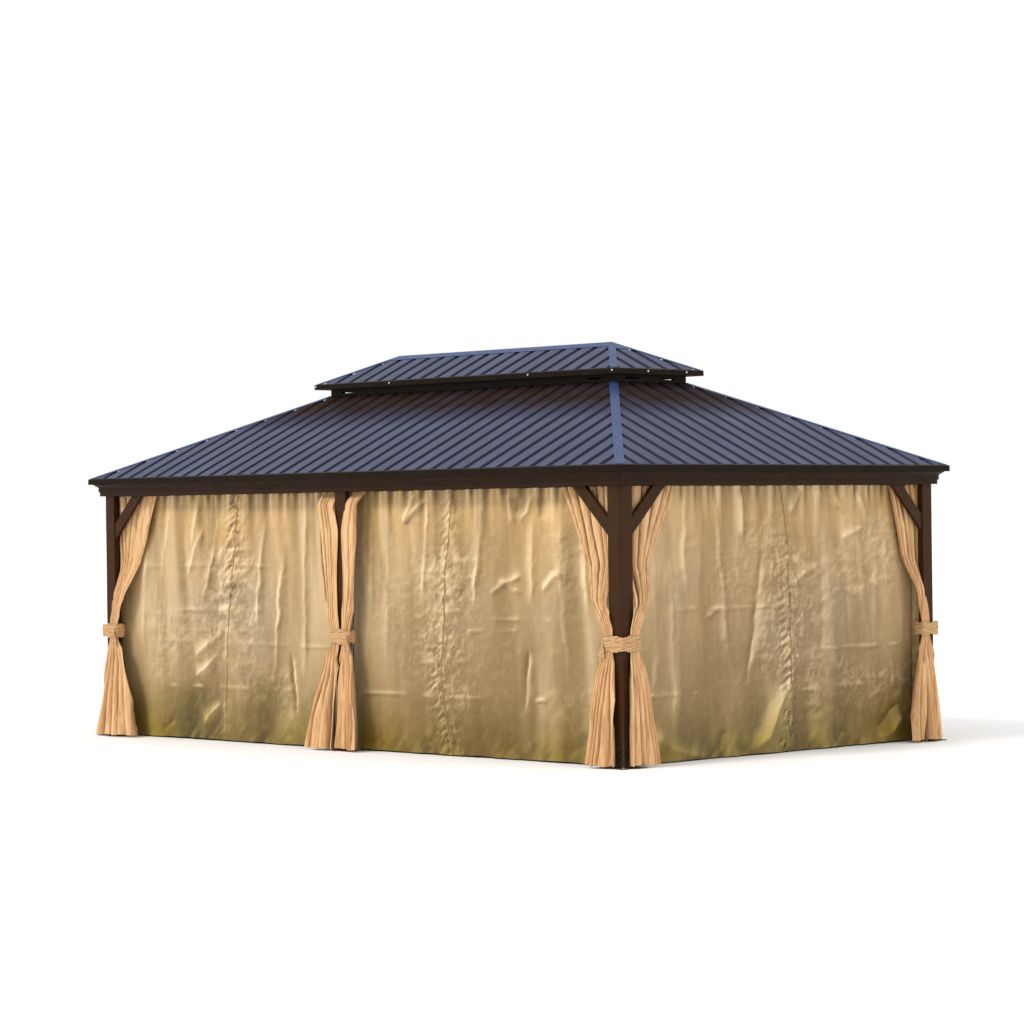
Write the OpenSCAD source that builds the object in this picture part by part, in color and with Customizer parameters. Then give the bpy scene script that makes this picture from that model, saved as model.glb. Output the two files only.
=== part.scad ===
// Hardtop gazebo with two roof tiers on six posts, with nets and tied curtains.
// Millimetres, +Z up. The origin is the middle of the footprint at floor level.
// X runs along the long walls, and the front wall faces -Y.
// Roof sections are drawn in (d, z): d is the distance inwards from the eave line.
// Wall sections are drawn in (a, o): a runs along the wall, o is outwards.

/* [Frame] */
// Length over the outer faces of the corner posts
frame_l = 5810; // [4800:10:7200]
// Width over the outer faces of the corner posts
frame_w = 3410; // [2800:10:4200]
// Height of the underside of the beams above the floor
beam_underside = 1940; // [1700:5:2350]
// Width of each face of a post
post_w = 118; // [98:1:142]
// Thickness of a corner post's two legs, and of a middle post
post_t = 45; // [35:1:52]
// Width of the bevel on a corner post's outer edge
post_bevel = 12; // [4:1:20]

/* [Feet] */
// How far a foot plate reaches past the post all round
plate_margin = 60; // [45:1:75]
// Thickness of a foot plate
plate_t = 6; // [4:1:8]
// Distance of a ground bolt's centre from the edge of its plate
bolt_edge = 25; // [20:1:30]
// Diameter of a ground bolt's hole
bolt_hole_d = 12; // [8:1:14]

/* [Corner braces] */
// Length of a brace's outer edge along the beam and down the post
brace_leg = 350; // [290:5:430]
// Width of a brace's face
brace_w = 85; // [60:1:105]
// Thickness of a brace
brace_t = 30; // [20:1:34]

/* [Roof] */
// Slope of both roof tiers in degrees
pitch = 25; // [20:1:30]
// Distance that each eave stands out past the wall below it
overhang = 95; // [80:1:115]
// Height of the lower eave's top edge above the underside of the beams
eave_rise = 138; // [130:1:165]
// Height of the lower eave trim's front
trim_h = 43; // [36:1:50]
// Height of the upper eave trim's front
fascia_h = 39; // [32:1:47]
// Thickness of trims and caps
trim_t = 3; // [2:0.5:4]
// Thickness of the ribbed roof sheets
sheet_t = 2; // [1.5:0.5:3]
// Height of the ribs on the roof sheets
rib_h = 14; // [10:1:18]
// Distance from rib to rib
rib_pitch = 170; // [140:5:205]
// Width of the bottom of the valley between two ribs
valley_w = 38; // [30:1:46]
// Width of each sloping side of a rib
rib_side = 10; // [6:1:12]

/* [Upper tier] */
// Width of the vent frame between the tiers, outside
vent_w = 790; // [660:5:950]
// Thickness of the vent frame's walls
vent_t = 25; // [20:1:30]
// Open height between the lower roof and the upper eave trim
vent_gap = 50; // [40:1:60]
// Height of a vent slot
slot_h = 14; // [10:1:17]
// Length of a vent slot
slot_l = 140; // [115:5:165]
// Distance of a vent slot from the vent frame's corner
slot_from_corner = 130; // [110:5:155]

/* [Caps and rafters] */
// Width of a lower hip cap
hip_cap_w = 68; // [56:1:82]
// Width of an upper hip cap
upper_cap_w = 56; // [46:1:68]
// Width of the ridge cap
ridge_cap_w = 150; // [125:1:180]
// Length of the ridge cap past each end of the ridge
ridge_cap_end = 120; // [100:1:145]
// Height of a rafter
rafter_h = 80; // [65:1:95]
// Width of a rafter
rafter_w = 50; // [40:1:60]

/* [Curtains and nets] */
// Distance of the curtain track's centre behind the posts' outer faces
curtain_set = 80; // [72:1:84]
// Thickness of a hanging curtain over its folds
drape_t = 40; // [33:1:46]
// Distance of the net track's centre behind the posts' outer faces
net_set = 119; // [117:1:125]
// Thickness of a net over its folds
net_t = 20; // [16:1:24]
// Width of the top of a curtain beside a corner post
corner_drape_w = 440; // [365:5:530]
// Width of the top of a curtain beside a middle post
middle_drape_w = 170; // [140:5:205]
// Height of the middle of the tie bands
tie_z = 852; // [710:1:1020]
// Height of a tie band
tie_h = 120; // [100:1:145]
// Reach of a tied curtain out of the wall at its hem
hem_reach = 92; // [76:1:95]
// Width of a corner curtain's hem past the post
corner_hem_w = 220; // [185:1:265]
// Width of a middle curtain's hem past the post
middle_hem_w = 240; // [200:1:290]
// Height of the hems above the floor
hem_z = 14; // [12:1:18]

/* [Hidden] */
$fn = 48;
eps = 0.3; // clearance between pieces that fit against each other
big = 20000;
half_l = frame_l / 2;
half_w = frame_w / 2;
roof_hl = half_l + overhang;
roof_hw = half_w + overhang;
slope = tan(pitch);
per_normal = 1 / cos(pitch); // height that goes with a thickness square to the slope

// Lower tier: its sheets lie on the plane that starts at eave_z above the eave line.
lip_t = trim_t / 2;
lip_w = 16;
sheet_top = rib_h + sheet_t; // normal height of the ribs' tops above the sheets' plane
leg_under = trim_t + eps; // normal depth of the trims' undersides below that plane
eave_z = beam_underside + eave_rise - (sheet_top + eps + lip_t) * per_normal;
trim_bottom = beam_underside + eave_rise - trim_h;
vent_hw = vent_w / 2;
lower_run = roof_hw - vent_hw;
vent_hl = roof_hl - lower_run;
foot_z = eave_z + lower_run * slope; // where the lower sheets' plane meets the vent frame

// Upper tier
upper_hl = vent_hl + overhang;
upper_hw = vent_hw + overhang;
fascia_bottom = foot_z + sheet_top * per_normal + vent_gap;
upper_z = fascia_bottom + fascia_h - (sheet_top + eps + lip_t) * per_normal;
ridge_hl = upper_hl - upper_hw;
sheet_inset = trim_t + 2; // the sheets stop short of the eave trims' inner faces
hip_gap = 6; // distance of the sheets from each hip line, along the eave
edge_gap = 2; // distance of the sheets from the ridge and from the vent frame
blunt = 3; // length cut off the tips of caps and rafters
roof_base = 500; // depth of the blocks that roof layers are cut from
sheet_spare = 50; // length of a sheet past each end before it is cut
trim_return = 20; // depth of the upper trims' return, and of the beams clear of the trims

// Beams: outward steps of the cornice, and its heights above the underside
cornice_out = [28, 36, 42, 66];
cornice_up = [30, 36, 66, 74, 92, 110];
beam_in = 60; // distance of the beams' inner faces behind the posts' outer faces
beam_shoulder = 30;
beam_depth = overhang + beam_in;

// Rails and soft pieces
rail_in = beam_in + eps;
rail_past = 8; // reach of the rails past the nets
rail_d = net_set + net_t / 2 + rail_past - beam_in;
rail_h = 22;
rail_drop = 4; // the rails show this much under the beams
rail_z = beam_underside - rail_drop;
drape_top = rail_z - eps;
drape_in = curtain_set - drape_t / 2;
net_in = net_set - net_t / 2;
brace_in = 8;
bend_drop = 200; // distance below the brace at which a corner curtain turns outwards
corner_bend_z = beam_underside - brace_leg - bend_drop;
// Shares of the height from the tie to the bend at which a curtain meets and covers the post
corner_meet = 0.44;
corner_over = 0.19;
middle_bend_drop = 30; // distance below the beam at which a middle curtain turns outwards
middle_bend_z = beam_underside - middle_bend_drop;
middle_meet = 0.87;
middle_over = 0.75;
// Under 1, a curtain keeps its width until it is near its tie
corner_curve = 1;
middle_curve = 0.5;
tie_split = 12; // distance of the tied cloth from the middle of the post's face
flare_split = 2; // distance of a middle curtain's hem from the middle of the post
net_meeting = 10; // gap between the two nets of a long wall
net_clear = 3; // gap between the nets of two walls at a corner
side_gap = 5; // distance of a hanging curtain from the side of its post
wrap_out = 35; // reach of a tied curtain out of the post's face
wrap_side = 45; // reach of a tied curtain past the side of its post
band_t = 5;
// A corner's band crosses it inside; there the distances from the two walls' faces add up to this
band_across = post_w + wrap_side + eps + post_t + 1.5 * band_t;
// Distances of the nets' ends from the corners, clear of those bands
long_net_start = max(net_in, band_across + eps - net_in);
short_net_start = max(net_in + net_t + net_clear, band_across + eps - net_in);
slab = 10; // height of the slabs that a drape is stretched between
tied_top = tie_z + tie_h / 2;
tied_bottom = tie_z - tie_h / 2 - slab;

// ---- Colours ----
module bronze() { color([0.17, 0.12, 0.10]) children(); }
module dark_trim() { color([0.06, 0.07, 0.07]) children(); }
module roof_blue() { color([0.30, 0.31, 0.42]) children(); }
module cap_blue() { color([0.33, 0.38, 0.58]) children(); }
module drape_tan() { color([0.86, 0.66, 0.45]) children(); }
module net_khaki() { color([0.72, 0.60, 0.38]) children(); }

// ---- Placing ----
// What is drawn at the front, drawn at the back too
module front_and_back() {
    children();
    mirror([0, 1, 0]) children();
}

// What is drawn at the left, drawn at the right too
module left_and_right() {
    children();
    mirror([1, 0, 0]) children();
}

// All four corners, from what is drawn at the front left
module four_corners() {
    left_and_right() front_and_back() children();
}

// Turns what is drawn for the front wall onto the left wall
module on_left() {
    mirror([1, 0, 0]) rotate([0, 0, 90]) children();
}

// The prism under a plan outline
module over_plan(points) {
    translate([0, 0, -big / 2]) linear_extrude(big) polygon(points);
}

module plan_rectangle(hx, hy) {
    translate([-hx, -hy, -big / 2]) cube([2 * hx, 2 * hy, big]);
}

// ---- Roof geometry ----
// Height of the surface at n above the roof plane, d in from the eave
function roof_at(z, d, n) = z + d * slope + n * per_normal;

// A (d, z) section run along the front eave, mitred at both ends
module mitred_run(hx, hy, depth, section) {
    intersection() {
        translate([-hx, -hy, 0]) rotate([90, 0, 90]) linear_extrude(2 * hx) polygon(section);
        over_plan([
            [-hx + eps / 2, -hy], [hx - eps / 2, -hy],
            [hx - depth - eps / 2, -hy + depth], [-hx + depth + eps / 2, -hy + depth]
        ]);
    }
}

// Everything under the hip roof's surface at n above its plane
module under_hips(hx, hy, z, n) {
    base = z - roof_base;
    eave = roof_at(z, 0, n);
    intersection() {
        translate([-hx, 0, 0]) rotate([90, 0, 90]) linear_extrude(2 * hx)
            polygon([[-hy, base], [-hy, eave], [0, roof_at(z, hy, n)], [hy, eave], [hy, base]]);
        translate([0, hy, 0]) rotate([90, 0, 0]) linear_extrude(2 * hy)
            polygon([[-hx, base], [-hx, eave], [0, roof_at(z, hx, n)], [hx, eave], [hx, base]]);
    }
}

// The layer between n0 and n1 above the roof plane
module roof_layer(hx, hy, z, n0, n1) {
    difference() {
        under_hips(hx, hy, z, n1);
        under_hips(hx, hy, z, n0);
    }
}

// A strip of plan along the front left hip line, between two distances in from the eaves.
// Its square ends blunt the tips of what it cuts out.
module hip_strip(hx, hy, width, d0, d1) {
    start = d0 * sqrt(2) + blunt;
    translate([-hx, -hy, -big / 2]) rotate([0, 0, 45]) translate([start, -width / 2, 0])
        cube([d1 * sqrt(2) - blunt - start, width, big]);
}

function rib_edge(k, n) = let (middle = (k + 0.5) * rib_pitch) [
    [middle - valley_w / 2 - rib_side, rib_h + n], [middle - valley_w / 2, n],
    [middle + valley_w / 2, n], [middle + valley_w / 2 + rib_side, rib_h + n]
];

function flipped(list) = [for (i = [len(list) - 1:-1:0]) list[i]];

// A ribbed sheet on the front slope, cut along the hips, from d0 to d1 in from the eave
module ribbed_slope(hx, hy, z, d0, d1) {
    ribs = ceil(hx / rib_pitch);
    top = [for (k = [-ribs - 1:ribs]) each rib_edge(k, sheet_t)];
    under = [for (k = [-ribs - 1:ribs]) each rib_edge(k, 0)];
    length = (d1 + sheet_spare) * per_normal;
    intersection() {
        translate([0, -hy, z]) rotate([pitch, 0, 0]) translate([0, length, 0])
            rotate([90, 0, 0]) linear_extrude(length + sheet_spare)
                polygon(concat(top, flipped(under)));
        over_plan([
            [-hx + d0 + hip_gap, -hy + d0], [hx - d0 - hip_gap, -hy + d0],
            [hx - d1 - hip_gap, -hy + d1], [-hx + d1 + hip_gap, -hy + d1]
        ]);
    }
}

// Section of an eave trim: front, lip over the sheets, leg under them, return below
function trim_section(z, bottom, back, leg) = [
    [0, bottom], [0, roof_at(z, 0, sheet_top + eps + lip_t)],
    [lip_w, roof_at(z, lip_w, sheet_top + eps + lip_t)], [lip_w, roof_at(z, lip_w, sheet_top + eps)],
    [trim_t, roof_at(z, trim_t, sheet_top + eps)], [trim_t, roof_at(z, trim_t, -eps)],
    [leg, roof_at(z, leg, -eps)], [leg, roof_at(z, leg, -leg_under)],
    [trim_t, roof_at(z, trim_t, -leg_under)], [trim_t, bottom + trim_t],
    [back, bottom + trim_t], [back, bottom]
];

// ---- Posts and feet ----
// The corner post at the front left: two legs along the walls and a bevelled edge
module corner_post() {
    bronze() translate([-half_l, -half_w, plate_t])
        linear_extrude(beam_underside - plate_t) polygon([
            [post_bevel, 0], [post_w, 0], [post_w, post_t], [post_t, post_t],
            [post_t, post_w], [0, post_w], [0, post_bevel]
        ]);
}

module middle_post() {
    bronze() translate([-post_w / 2, -half_w, plate_t])
        cube([post_w, post_t, beam_underside - plate_t]);
}

module foot_plate(length, width) {
    difference() {
        cube([length, width, plate_t]);
        for (x = [bolt_edge, length - bolt_edge], y = [bolt_edge, width - bolt_edge])
            translate([x, y, -1]) cylinder(h = plate_t + 2, d = bolt_hole_d);
    }
}

module foot_plates() {
    corner_l = post_w + 2 * plate_margin;
    middle_d = post_t + 2 * plate_margin;
    bronze() {
        four_corners() translate([-half_l - plate_margin, -half_w - plate_margin, 0])
            foot_plate(corner_l, corner_l);
        front_and_back() translate([-corner_l / 2, -half_w - plate_margin, 0])
            foot_plate(corner_l, middle_d);
    }
}

// ---- Beams and braces ----
beam_section = [
    [overhang - cornice_out[0], beam_underside],
    [overhang - cornice_out[0], beam_underside + cornice_up[0]],
    [overhang - cornice_out[1], beam_underside + cornice_up[1]],
    [overhang - cornice_out[1], beam_underside + cornice_up[2]],
    [overhang - cornice_out[2], beam_underside + cornice_up[3]],
    [overhang - cornice_out[3], beam_underside + cornice_up[4]],
    [overhang - cornice_out[3], beam_underside + cornice_up[5]],
    [overhang - beam_shoulder, beam_underside + cornice_up[5]],
    [overhang - beam_shoulder, roof_at(eave_z, overhang - beam_shoulder, -leg_under) - eps],
    [beam_depth, roof_at(eave_z, beam_depth, -leg_under) - eps],
    [beam_depth, beam_underside]
];

module long_beam() {
    bronze() mitred_run(roof_hl, roof_hw, beam_depth, beam_section);
}

module short_beam() {
    bronze() on_left() mitred_run(roof_hw, roof_hl, beam_depth, beam_section);
}

// Brace against the side of a post that stands at a = 0, in the front wall's plane
module brace() {
    inner_leg = brace_leg - brace_w * sqrt(2);
    translate([0, brace_in + brace_t, 0]) rotate([90, 0, 0]) linear_extrude(brace_t) polygon([
        [0, beam_underside - brace_leg], [0, beam_underside - inner_leg],
        [inner_leg, beam_underside], [brace_leg, beam_underside]
    ]);
}

module long_wall_braces() {
    bronze() four_corners() translate([-half_l + post_w, -half_w, 0]) brace();
}

module short_wall_braces() {
    bronze() four_corners() on_left() translate([-half_w + post_w, -half_l, 0]) brace();
}

// ---- Rails for curtains and nets ----
module long_wall_rails() {
    length = 2 * (half_l - rail_in);
    bronze() front_and_back() translate([-length / 2, -half_w + rail_in, rail_z])
        cube([length, rail_d, rail_h]);
}

module short_wall_rails() {
    length = 2 * (half_w - rail_in - rail_d - eps);
    bronze() left_and_right() translate([-half_l + rail_in, -length / 2, rail_z])
        cube([rail_d, length, rail_h]);
}

// ---- Lower roof ----
lower_trim = trim_section(eave_z, trim_bottom, overhang - cornice_out[3] - eps, beam_depth - trim_return);

module long_eave_trim() {
    dark_trim() front_and_back() mitred_run(roof_hl, roof_hw, beam_depth, lower_trim);
}

module short_eave_trim() {
    dark_trim() left_and_right() on_left() mitred_run(roof_hw, roof_hl, beam_depth, lower_trim);
}

// Rafters lie in a layer just under the sheets
module hip_rafters() {
    bronze() four_corners() intersection() {
        difference() {
            roof_layer(roof_hl, roof_hw, eave_z, -rafter_h, -eps);
            plan_rectangle(vent_hl + eps, vent_hw + eps);
        }
        hip_strip(roof_hl, roof_hw, rafter_w, beam_depth, lower_run);
        plan_rectangle(half_l - beam_in - eps, half_w - beam_in - eps);
    }
}

module middle_rafters() {
    bronze() front_and_back() intersection() {
        roof_layer(roof_hl, roof_hw, eave_z, -rafter_h, -eps);
        translate([-rafter_w / 2, -half_w + beam_in + eps, 0])
            cube([rafter_w, half_w - beam_in - vent_hw - 2 * eps, big]);
    }
}

module lower_long_slope() {
    roof_blue() ribbed_slope(roof_hl, roof_hw, eave_z, sheet_inset, lower_run - edge_gap);
}

module lower_short_slope() {
    roof_blue() on_left()
        ribbed_slope(roof_hw, roof_hl, eave_z, sheet_inset, lower_run - edge_gap);
}

module lower_hip_caps() {
    cap_blue() four_corners() intersection() {
        difference() {
            roof_layer(roof_hl, roof_hw, eave_z, sheet_top + eps, sheet_top + eps + trim_t);
            plan_rectangle(vent_hl + eps, vent_hw + eps);
        }
        hip_strip(roof_hl, roof_hw, hip_cap_w, lip_w, lower_run);
        plan_rectangle(roof_hl - lip_w - eps, roof_hw - lip_w - eps);
    }
}

// ---- Vent frame between the tiers ----
vent_bottom = foot_z - rafter_h;
vent_top = roof_at(upper_z, overhang, -leg_under) - eps;
slot_z = (foot_z + sheet_top * per_normal + fascia_bottom) / 2;

// A wall of the vent frame along X, centred, with a slot near each end
module vent_wall(hx, from_end) {
    difference() {
        translate([-hx, 0, vent_bottom]) cube([2 * hx, vent_t, vent_top - vent_bottom]);
        left_and_right() translate([-hx + from_end, -1, slot_z - slot_h / 2])
            cube([slot_l, vent_t + 2, slot_h]);
    }
}

module long_vent_walls() {
    dark_trim() front_and_back() translate([0, -vent_hw, 0])
        vent_wall(vent_hl, slot_from_corner);
}

module short_vent_walls() {
    dark_trim() left_and_right() on_left() translate([0, -vent_hl, 0])
        vent_wall(vent_hw - vent_t - eps, slot_from_corner - vent_t - eps);
}

// ---- Upper roof ----
upper_trim = trim_section(upper_z, fascia_bottom, trim_return, overhang + vent_t);

module long_upper_trim() {
    dark_trim() front_and_back()
        mitred_run(upper_hl, upper_hw, overhang + vent_t, upper_trim);
}

module short_upper_trim() {
    dark_trim() left_and_right() on_left()
        mitred_run(upper_hw, upper_hl, overhang + vent_t, upper_trim);
}

module upper_long_slope() {
    roof_blue() ribbed_slope(upper_hl, upper_hw, upper_z, sheet_inset, upper_hw - edge_gap);
}

module upper_short_slope() {
    roof_blue() on_left()
        ribbed_slope(upper_hw, upper_hl, upper_z, sheet_inset, upper_hw - hip_gap - edge_gap);
}

module upper_cap_layer() {
    roof_layer(upper_hl, upper_hw, upper_z, sheet_top + eps, sheet_top + eps + trim_t);
}

module upper_hip_caps() {
    cap_blue() four_corners() intersection() {
        difference() {
            upper_cap_layer();
            plan_rectangle(ridge_hl + ridge_cap_end + eps, ridge_cap_w / 2 + eps);
        }
        hip_strip(upper_hl, upper_hw, upper_cap_w, lip_w, upper_hw);
        plan_rectangle(upper_hl - lip_w - eps, upper_hw - lip_w - eps);
    }
}

module ridge_cap() {
    cap_blue() intersection() {
        upper_cap_layer();
        plan_rectangle(ridge_hl + ridge_cap_end, ridge_cap_w / 2);
    }
}

// ---- Nets ----
// One net for each bay, closed down to the floor
module long_wall_nets() {
    end = half_l - long_net_start;
    net_khaki() left_and_right() translate([-end, -half_w + net_in, hem_z])
        cube([end - net_meeting / 2, net_t, drape_top - hem_z]);
}

module short_wall_net() {
    end = half_w - short_net_start;
    net_khaki() on_left() translate([-end, -half_l + net_in, hem_z])
        cube([2 * end, net_t, drape_top - hem_z]);
}

// ---- Curtains ----
// A flat slab from a0 to a1 along the wall and from o0 to o1 out of it
module drape_slab(a0, a1, o0, o1, z) {
    translate([a0, -o1, z]) cube([a1 - a0, o1 - o0, slab]);
}

// How far a tied curtain reaches past the side of its post at height z, above the tie
function drape_w(top_w, curve, z) = wrap_side
    + (top_w - wrap_side) * pow((z - tied_top) / (drape_top - tied_top), curve);

// A tied curtain beside a post whose side is at a = 0 and whose outer face is at o = 0.
// It hangs straight down to the bend, swings out to the plane of the post's face, closes
// over that face, is tied and flares. The shares give where it meets and covers the face.
module tied_curtain(top_w, curve, hem_w, cover, bend, meet_share, over_share) {
    meet = tied_top + meet_share * (bend - tied_top);
    over = tied_top + over_share * (bend - tied_top);
    drape_out = drape_in + drape_t;
    tied_in = post_w / 2 - tie_split;
    translate([0, drape_out, 0]) rotate([90, 0, 0]) linear_extrude(drape_t) polygon([
        [side_gap, drape_top], [top_w, drape_top], [drape_w(top_w, curve, bend), bend], [side_gap, bend]
    ]);
    hull() {
        drape_slab(side_gap, drape_w(top_w, curve, bend), -drape_out, -drape_in, bend);
        drape_slab(side_gap, drape_w(top_w, curve, meet), eps, wrap_out, meet);
    }
    translate([0, -eps, 0]) rotate([90, 0, 0]) linear_extrude(wrap_out - eps) polygon([
        [side_gap, meet + slab], [drape_w(top_w, curve, meet), meet + slab], [drape_w(top_w, curve, over), over],
        [wrap_side, tied_top], [wrap_side, tied_bottom], [-tied_in, tied_bottom],
        [-tied_in, over], [side_gap, meet]
    ]);
    hull() {
        drape_slab(-tied_in, wrap_side, eps, wrap_out, tied_bottom);
        drape_slab(-cover, hem_w, eps, hem_reach, hem_z);
    }
}

module corner_curtain() {
    tied_curtain(
        corner_drape_w, corner_curve, corner_hem_w, post_w - side_gap,
        corner_bend_z, corner_meet, corner_over
    );
}

// The two curtains tied to the front left corner post
module corner_curtains() {
    drape_tan() {
        translate([-half_l + post_w, -half_w, 0])
            corner_curtain();
        on_left() translate([-half_w + post_w, -half_l, 0]) corner_curtain();
    }
}

// The two curtains tied to the front middle post
module middle_curtains() {
    drape_tan() left_and_right() translate([post_w / 2, -half_w, 0])
        tied_curtain(
            middle_drape_w, middle_curve, middle_hem_w, post_w / 2 - flare_split,
            middle_bend_z, middle_meet, middle_over
        );
}

// ---- Tie bands ----
// A ring between an inner and an outer outline
module band(inner, outer) {
    translate([0, 0, tie_z - tie_h / 2]) linear_extrude(tie_h)
        difference() {
            polygon(outer);
            polygon(inner);
        }
}

module tie_bands() {
    out = wrap_out + eps;
    side = wrap_side + eps;
    inner_side = post_w + side;
    behind = post_t + eps;
    drape_tan() {
        four_corners() translate([-half_l, -half_w, 0]) band(
            [[-out, -out], [inner_side, -out], [inner_side, post_t], [post_t, inner_side],
             [-out, inner_side]],
            [[-out - band_t, -out - band_t], [inner_side + band_t, -out - band_t],
             [inner_side + band_t, post_t + band_t / 2], [post_t + band_t / 2, inner_side + band_t],
             [-out - band_t, inner_side + band_t]]);
        front_and_back() translate([0, -half_w, 0]) band(
            [[-inner_side + post_w / 2, -out], [inner_side - post_w / 2, -out],
             [inner_side - post_w / 2, behind], [-inner_side + post_w / 2, behind]],
            [[-inner_side + post_w / 2 - band_t, -out - band_t],
             [inner_side - post_w / 2 + band_t, -out - band_t],
             [inner_side - post_w / 2 + band_t, behind + band_t],
             [-inner_side + post_w / 2 - band_t, behind + band_t]]);
    }
}

// ---- The pieces ----
corner_post();  // corner_post_front_left
mirror([1, 0, 0]) corner_post();  // corner_post_front_right
mirror([0, 1, 0]) corner_post();  // corner_post_back_left
rotate([0, 0, 180]) corner_post();  // corner_post_back_right
middle_post();  // middle_post_front
mirror([0, 1, 0]) middle_post();  // middle_post_back
foot_plates();
long_beam();  // beam_front
mirror([0, 1, 0]) long_beam();  // beam_back
short_beam();  // beam_left
mirror([1, 0, 0]) short_beam();  // beam_right
long_wall_braces();  // corner_braces_long_walls
short_wall_braces();  // corner_braces_short_walls
long_wall_rails();  // curtain_rails_long_walls
short_wall_rails();  // curtain_rails_short_walls
long_eave_trim();  // eave_trim_long_sides
short_eave_trim();  // eave_trim_short_sides
hip_rafters();
middle_rafters();
lower_long_slope();  // lower_roof_front
mirror([0, 1, 0]) lower_long_slope();  // lower_roof_back
lower_short_slope();  // lower_roof_left
mirror([1, 0, 0]) lower_short_slope();  // lower_roof_right
lower_hip_caps();
long_vent_walls();  // vent_frame_long_sides
short_vent_walls();  // vent_frame_short_sides
long_upper_trim();  // upper_trim_long_sides
short_upper_trim();  // upper_trim_short_sides
upper_long_slope();  // upper_roof_front
mirror([0, 1, 0]) upper_long_slope();  // upper_roof_back
upper_short_slope();  // upper_roof_left
mirror([1, 0, 0]) upper_short_slope();  // upper_roof_right
upper_hip_caps();
ridge_cap();
long_wall_nets();  // net_front
mirror([0, 1, 0]) long_wall_nets();  // net_back
short_wall_net();  // net_left
mirror([1, 0, 0]) short_wall_net();  // net_right
corner_curtains();  // curtains_front_left
middle_curtains();  // curtains_front_middle
mirror([1, 0, 0]) corner_curtains();  // curtains_front_right
mirror([0, 1, 0]) corner_curtains();  // curtains_back_left
mirror([0, 1, 0]) middle_curtains();  // curtains_back_middle
rotate([0, 0, 180]) corner_curtains();  // curtains_back_right
tie_bands();
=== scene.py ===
import math

import bpy
import numpy as np
from mathutils import Matrix, Vector


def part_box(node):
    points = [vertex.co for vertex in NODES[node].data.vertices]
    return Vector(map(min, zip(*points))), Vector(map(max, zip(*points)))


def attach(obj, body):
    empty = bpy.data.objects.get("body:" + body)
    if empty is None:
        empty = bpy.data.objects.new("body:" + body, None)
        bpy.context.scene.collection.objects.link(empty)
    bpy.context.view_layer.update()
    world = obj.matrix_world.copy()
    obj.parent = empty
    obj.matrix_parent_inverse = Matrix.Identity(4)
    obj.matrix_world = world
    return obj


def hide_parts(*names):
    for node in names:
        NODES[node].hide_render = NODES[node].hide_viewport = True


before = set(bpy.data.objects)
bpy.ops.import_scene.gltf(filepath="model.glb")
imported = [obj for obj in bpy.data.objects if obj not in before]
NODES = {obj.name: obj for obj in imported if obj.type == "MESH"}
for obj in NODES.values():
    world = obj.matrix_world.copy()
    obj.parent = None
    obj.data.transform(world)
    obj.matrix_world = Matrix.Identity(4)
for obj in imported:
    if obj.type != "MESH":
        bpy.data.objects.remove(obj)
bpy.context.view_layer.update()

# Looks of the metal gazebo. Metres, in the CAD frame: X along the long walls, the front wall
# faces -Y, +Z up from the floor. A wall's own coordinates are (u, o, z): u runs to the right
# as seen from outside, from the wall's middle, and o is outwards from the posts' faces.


# ---- Sizes from the frame ----
def low(node, axis):
    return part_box(node)[0][axis]


def high(node, axis):
    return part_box(node)[1][axis]


HALF_L = -low("corner_post_front_left", 0)
HALF_W = -low("corner_post_front_left", 1)
POST_W = high("corner_post_front_left", 0) + HALF_L
POST_T = high("middle_post_front", 1) + HALF_W
BEAM_Z = high("corner_post_front_left", 2)
DRAPE_TOP = high("net_left", 2)
HEM_Z = low("net_left", 2)
NET_SET = HALF_L + (low("net_left", 0) + high("net_left", 0)) / 2
NET_END = -low("net_front", 0)
SIDE_NET_END = -low("net_left", 1)
CURTAIN_SET = 0.080  # from the posts' faces in to the curtains' gliders
TIE_LO = low("tie_bands", 2)
TIE_HI = high("tie_bands", 2)
PLATE_TOP = low("corner_post_front_left", 2)
PLATE_REACH = -low("foot_plates", 0) - HALF_L
WRAP_SIDE = 0.042  # how far the tied cloth reaches past the side of its post
WRAP_OUT = 0.022  # and out of its face
UP = Vector((0, 0, 1))


# ---- Walls ----
class Wall:
    """One wall, with the way from its own coordinates to the frame's."""

    def __init__(self, outward, half_out, half_run):
        self.out = np.array([outward[0], outward[1], 0.0])
        self.along = np.array([-outward[1], outward[0], 0.0])
        self.half_out = half_out
        self.half_run = half_run

    def place(self, u, o, z):
        u, o, z = np.broadcast_arrays(u, o, z)
        return (
            u[..., None] * self.along
            + (self.half_out + o)[..., None] * self.out
            + z[..., None] * np.array(UP)
        )

    def point(self, u, o, z):
        return Vector(self.place(np.float64(u), np.float64(o), np.float64(z)).tolist())


WALLS = {
    "front": Wall((0, -1), HALF_W, HALF_L),
    "right": Wall((1, 0), HALF_L, HALF_W),
    "back": Wall((0, 1), HALF_W, HALF_L),
    "left": Wall((-1, 0), HALF_L, HALF_W),
}
CORNERS = {  # what stands at the left and right end of each wall, seen from outside
    "front": ("front_left", "front_right"),
    "right": ("front_right", "back_right"),
    "back": ("back_right", "back_left"),
    "left": ("back_left", "front_left"),
}


# ---- Noise ----
def noise(seed, x, y):
    """Smooth noise from -1 to 1 on unit cells, the same on every run."""
    table = np.random.default_rng(seed).uniform(-1, 1, (64, 64))
    x, y = np.broadcast_arrays(np.asarray(x, float), np.asarray(y, float))
    i, j = np.floor(x).astype(int), np.floor(y).astype(int)
    fx, fy = x - i, y - j
    fx, fy = fx * fx * (3 - 2 * fx), fy * fy * (3 - 2 * fy)
    i0, i1, j0, j1 = i % 64, (i + 1) % 64, j % 64, (j + 1) % 64
    return (table[i0, j0] * (1 - fx) + table[i1, j0] * fx) * (1 - fy) + (
        table[i0, j1] * (1 - fx) + table[i1, j1] * fx
    ) * fy


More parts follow.
